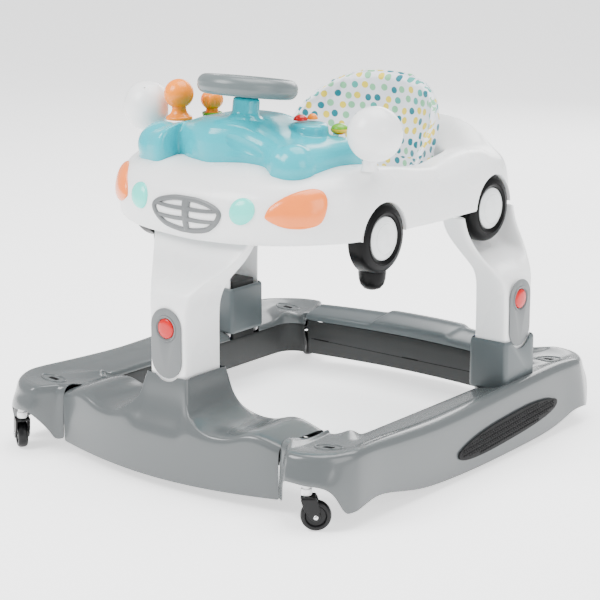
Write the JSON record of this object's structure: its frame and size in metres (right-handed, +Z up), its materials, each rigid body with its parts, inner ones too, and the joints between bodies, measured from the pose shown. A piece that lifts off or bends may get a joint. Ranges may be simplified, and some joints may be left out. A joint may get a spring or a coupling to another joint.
{
  "type": "baby walker",
  "caption": "Baby walker with a wide wheeled base, telescoping columns, a car-shaped body with a toy tray and steering wheel, and a padded fabric seat.",
  "frame": {"origin": "on the floor under the middle of the base", "axes": "+Z up, the car's nose and the front rail face -Y, +X is the walker's side seen on the right of the front three-quarter view"},
  "size_m": [0.6938, 0.7632, 0.6121],
  "materials": {
    "base_grey": "glossy moulded",
    "liner_grey": "satin moulded",
    "pad_black": "textured",
    "bush_white": "plain",
    "caster_black": "satin",
    "pin_steel": "plated",
    "column_white": "glossy moulded",
    "tyre_black": "glossy moulded",
    "hub_white": "glossy moulded",
    "plate_grey": "satin moulded",
    "button_red": "glossy moulded",
    "lamp_orange": "glossy moulded",
    "lamp_aqua": "glossy moulded",
    "tray_turquoise": "glossy moulded",
    "toy_orange": "glossy moulded",
    "toy_green": "glossy moulded",
    "seat_fabric": "padded woven, printed with dots"
  },
  "bodies": {
    "base": {"front_rail_shell": "base_grey", "rear_rail_shell": "base_grey", "right_side_shell": "base_grey", "left_side_shell": "base_grey", "front_liner": "liner_grey", "rear_liner": "liner_grey", "right_liner": "liner_grey", "left_liner": "liner_grey", "right_grip_pad": "pad_black", "left_grip_pad": "pad_black", "front_right_bush": "bush_white", "front_left_bush": "bush_white", "rear_left_bush": "bush_white", "rear_right_bush": "bush_white"},
    "upper": {"front_column": "column_white", "right_column": "column_white", "left_column": "column_white", "front_button_plate": "plate_grey", "right_button_plate": "plate_grey", "left_button_plate": "plate_grey", "car_body": "column_white", "grille": "plate_grey", "right_headlight": "lamp_orange", "left_headlight": "lamp_orange", "right_fog_light": "lamp_aqua", "left_fog_light": "lamp_aqua", "front_right_tyre": "tyre_black", "front_left_tyre": "tyre_black", "rear_right_tyre": "tyre_black", "rear_left_tyre": "tyre_black", "front_right_hub_cap": "hub_white", "front_left_hub_cap": "hub_white", "rear_right_hub_cap": "hub_white", "rear_left_hub_cap": "hub_white", "toy_tray": "tray_turquoise", "seat_sling": "seat_fabric"},
    "front_release": {"front_release_button": "button_red"},
    "right_release": {"right_release_button": "button_red"},
    "left_release": {"left_release_button": "button_red"},
    "front_right_swivel": {"front_right_fork": "caster_black", "front_right_axle_pin": "pin_steel"},
    "front_right_roller": {"front_right_wheel": "caster_black"},
    "front_left_swivel": {"front_left_fork": "caster_black", "front_left_axle_pin": "pin_steel"},
    "front_left_roller": {"front_left_wheel": "caster_black"},
    "rear_left_swivel": {"rear_left_fork": "caster_black", "rear_left_axle_pin": "pin_steel"},
    "rear_left_roller": {"rear_left_wheel": "caster_black"},
    "rear_right_swivel": {"rear_right_fork": "caster_black", "rear_right_axle_pin": "pin_steel"},
    "rear_right_roller": {"rear_right_wheel": "caster_black"},
    "steering": {"steering_wheel": "plate_grey", "steering_cap": "tray_turquoise"},
    "right_mirror_head": {"right_mirror": "column_white"},
    "left_mirror_head": {"left_mirror": "column_white"},
    "knob": {"knob_figure": "toy_orange"},
    "roller": {"roller_toy": "toy_orange"},
    "bead": {"bead_toy": "toy_green"},
    "red_press": {"red_button": "button_red"},
    "orange_press": {"orange_button": "toy_orange"}
  },
  "joints": [
    {"name": "height", "type": "slide", "parent": "base", "child": "upper", "axis": [0, 0, 1], "range_m": [0, 0.06]},
    {"name": "front_release_press", "type": "slide", "parent": "upper", "child": "front_release", "axis": [0, 1, 0], "range_m": [0, 0.004], "stiffness_N_per_m": 500, "springref_m": -0.001},
    {"name": "right_release_press", "type": "slide", "parent": "upper", "child": "right_release", "axis": [-1, 0, 0], "range_m": [0, 0.004], "stiffness_N_per_m": 500, "springref_m": -0.001},
    {"name": "left_release_press", "type": "slide", "parent": "upper", "child": "left_release", "axis": [1, 0, 0], "range_m": [0, 0.004], "stiffness_N_per_m": 500, "springref_m": -0.001},
    {"name": "front_right_swivel_turn", "type": "hinge", "parent": "base", "child": "front_right_swivel", "pos_m": [0.29, -0.366, 0.06], "axis": [0, 0, 1], "continuous": true},
    {"name": "front_right_wheel_spin", "type": "hinge", "parent": "front_right_swivel", "child": "front_right_roller", "pos_m": [0.30057, -0.3576, 0.0225], "axis": [-0.6225, 0.7826, 0], "continuous": true},
    {"name": "front_left_swivel_turn", "type": "hinge", "parent": "base", "child": "front_left_swivel", "pos_m": [-0.29, -0.366, 0.06], "axis": [0, 0, 1], "continuous": true},
    {"name": "front_left_wheel_spin", "type": "hinge", "parent": "front_left_swivel", "child": "front_left_roller", "pos_m": [-0.30106, -0.35826, 0.0225], "axis": [-0.5736, -0.8192, 0], "continuous": true},
    {"name": "rear_left_swivel_turn", "type": "hinge", "parent": "base", "child": "rear_left_swivel", "pos_m": [-0.29, 0.366, 0.06], "axis": [0, 0, 1], "continuous": true},
    {"name": "rear_left_wheel_spin", "type": "hinge", "parent": "rear_left_swivel", "child": "rear_left_roller", "pos_m": [-0.27894, 0.35826, 0.0225], "axis": [0.5736, 0.8192, 0], "continuous": true},
    {"name": "rear_right_swivel_turn", "type": "hinge", "parent": "base", "child": "rear_right_swivel", "pos_m": [0.29, 0.366, 0.06], "axis": [0, 0, 1], "continuous": true},
    {"name": "rear_right_wheel_spin", "type": "hinge", "parent": "rear_right_swivel", "child": "rear_right_roller", "pos_m": [0.27894, 0.35826, 0.0225], "axis": [0.5736, -0.8192, 0], "continuous": true},
    {"name": "steering_turn", "type": "hinge", "parent": "upper", "child": "steering", "pos_m": [0.002, -0.147, 0.5865], "axis": [0, 0.1392, 0.9903], "range_deg": [-60, 60]},
    {"name": "right_mirror_turn", "type": "hinge", "parent": "upper", "child": "right_mirror_head", "pos_m": [0.219, -0.125, 0.533], "axis": [0, 0, 1], "range_deg": [-30, 30]},
    {"name": "left_mirror_turn", "type": "hinge", "parent": "upper", "child": "left_mirror_head", "pos_m": [-0.219, -0.125, 0.533], "axis": [0, 0, 1], "range_deg": [-30, 30]},
    {"name": "knob_turn", "type": "hinge", "parent": "upper", "child": "knob", "pos_m": [-0.162, -0.122, 0.54], "axis": [0, 0, 1], "range_deg": [-90, 90]},
    {"name": "roller_spin", "type": "hinge", "parent": "upper", "child": "roller", "pos_m": [-0.136, -0.072, 0.53], "axis": [0, 0, 1], "continuous": true},
    {"name": "bead_spin", "type": "hinge", "parent": "upper", "child": "bead", "pos_m": [0.12, -0.069, 0.53], "axis": [0, 0, 1], "continuous": true},
    {"name": "red_button_press", "type": "slide", "parent": "upper", "child": "red_press", "axis": [0, 0, 1], "range_m": [-0.003, 0], "stiffness_N_per_m": 200, "springref_m": 0.001},
    {"name": "orange_button_press", "type": "slide", "parent": "upper", "child": "orange_press", "axis": [0, 0, 1], "range_m": [-0.003, 0], "stiffness_N_per_m": 200, "springref_m": 0.001}
  ]
}
